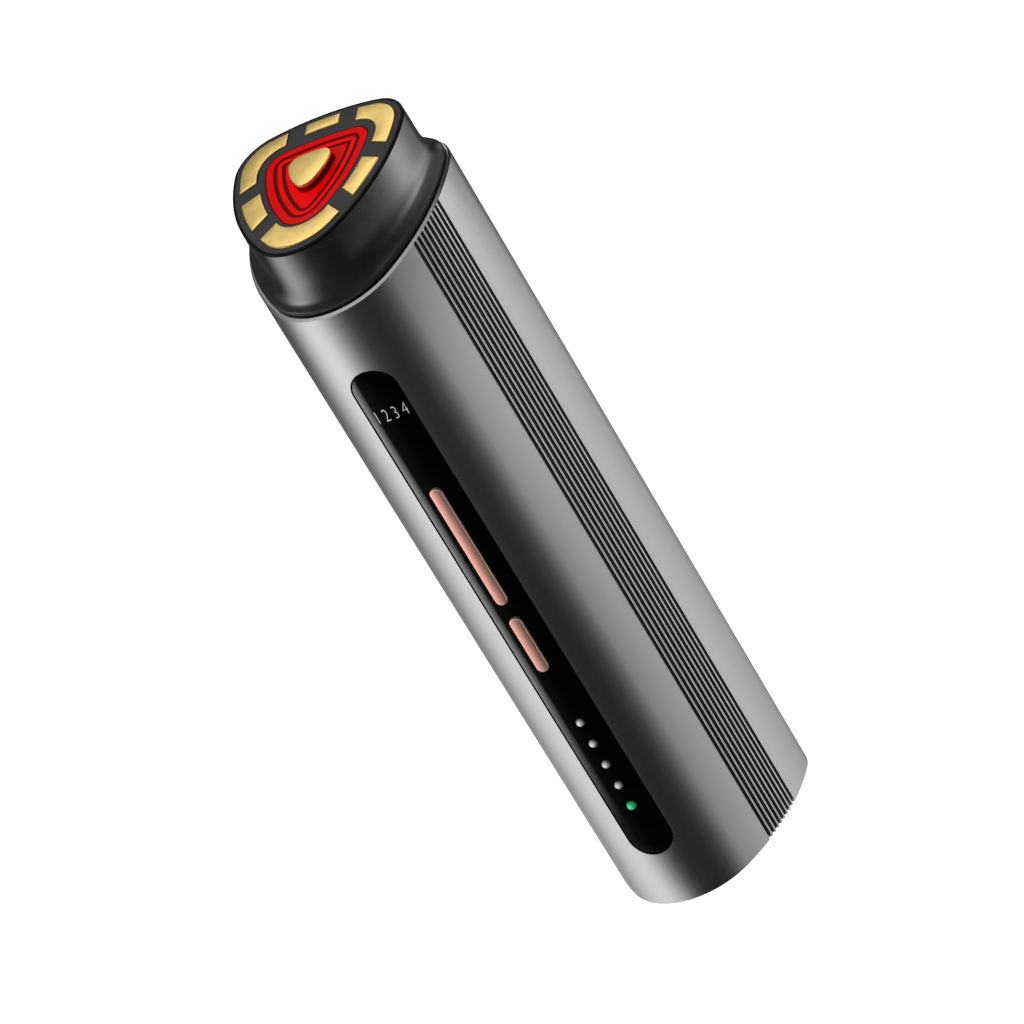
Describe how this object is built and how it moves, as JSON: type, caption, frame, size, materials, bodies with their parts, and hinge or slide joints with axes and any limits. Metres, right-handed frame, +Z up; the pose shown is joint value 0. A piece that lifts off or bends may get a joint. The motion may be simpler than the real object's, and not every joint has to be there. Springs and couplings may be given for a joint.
{
  "type": "facial toning device",
  "caption": "Hand-held skin toning wand: aluminium tube, slanted electrode head with red light window, control strip with push keys.",
  "frame": {"origin": "middle of the flat base, on the long axis of the tube", "axes": "+Z up the tube towards the electrode head, control strip and keys facing -Y, +X to the right seen from the front"},
  "size_m": [0.048, 0.0511, 0.1842],
  "materials": {
    "anodised_tube": "satin anodised",
    "head_gloss": "gloss",
    "bezel": "satin",
    "seal": "matt",
    "red_window": "gloss, lit from behind",
    "gold": "satin gold plated",
    "circuit_board": "solder mask",
    "led_body": "clear resin",
    "component": "moulded",
    "steel": "plated",
    "flex": "polyimide film",
    "frame_plastic": "moulded",
    "cell_wrap": "shrink wrap",
    "cap_plastic": "fine texture",
    "panel_gloss": "piano black",
    "rose_gold": "rose gold anodised",
    "white_lens": "frosted dome",
    "green_lens": "lit dome"
  },
  "bodies": {
    "housing": {"body_tube": "anodised_tube", "head_shell": "head_gloss", "head_gasket": "seal", "face_plate": "bezel", "light_window": "red_window", "centre_electrode": "gold", "front_electrode": "gold", "rear_left_electrode": "gold", "rear_right_electrode": "gold", "left_bar_electrode": "gold", "right_bar_electrode": "gold", "rear_bar_electrode": "gold", "contact_pins": "gold", "head_board": "circuit_board", "head_leds": "led_body", "thermistor": "component", "head_board_screws": "steel", "head_flex": "flex", "head_screws": "steel", "chassis": "frame_plastic", "main_board": "circuit_board", "main_board_screws": "steel", "controller_chip": "component", "rf_transformer": "component", "power_capacitors": "component", "battery": "cell_wrap", "battery_pad": "seal", "charge_board": "circuit_board", "charge_port": "steel", "base_cap": "cap_plastic", "base_screws": "steel", "front_panel": "panel_gloss", "light_mask": "cap_plastic", "key_board": "circuit_board", "key_flex": "flex", "long_switch": "component", "short_switch": "component", "indicator_leds": "led_body", "mode_display": "led_body", "level_lens_1": "white_lens", "level_lens_2": "white_lens", "level_lens_3": "white_lens", "level_lens_4": "white_lens", "power_lens": "green_lens"},
    "long_key": {"long_key": "rose_gold"},
    "short_key": {"short_key": "rose_gold"}
  },
  "joints": [
    {"name": "long_key_press", "type": "slide", "parent": "housing", "child": "long_key", "axis": [0, 1, 0], "range_m": [0, 0.00035], "stiffness_N_per_m": 900},
    {"name": "short_key_press", "type": "slide", "parent": "housing", "child": "short_key", "axis": [0, 1, 0], "range_m": [0, 0.00035], "stiffness_N_per_m": 900}
  ]
}
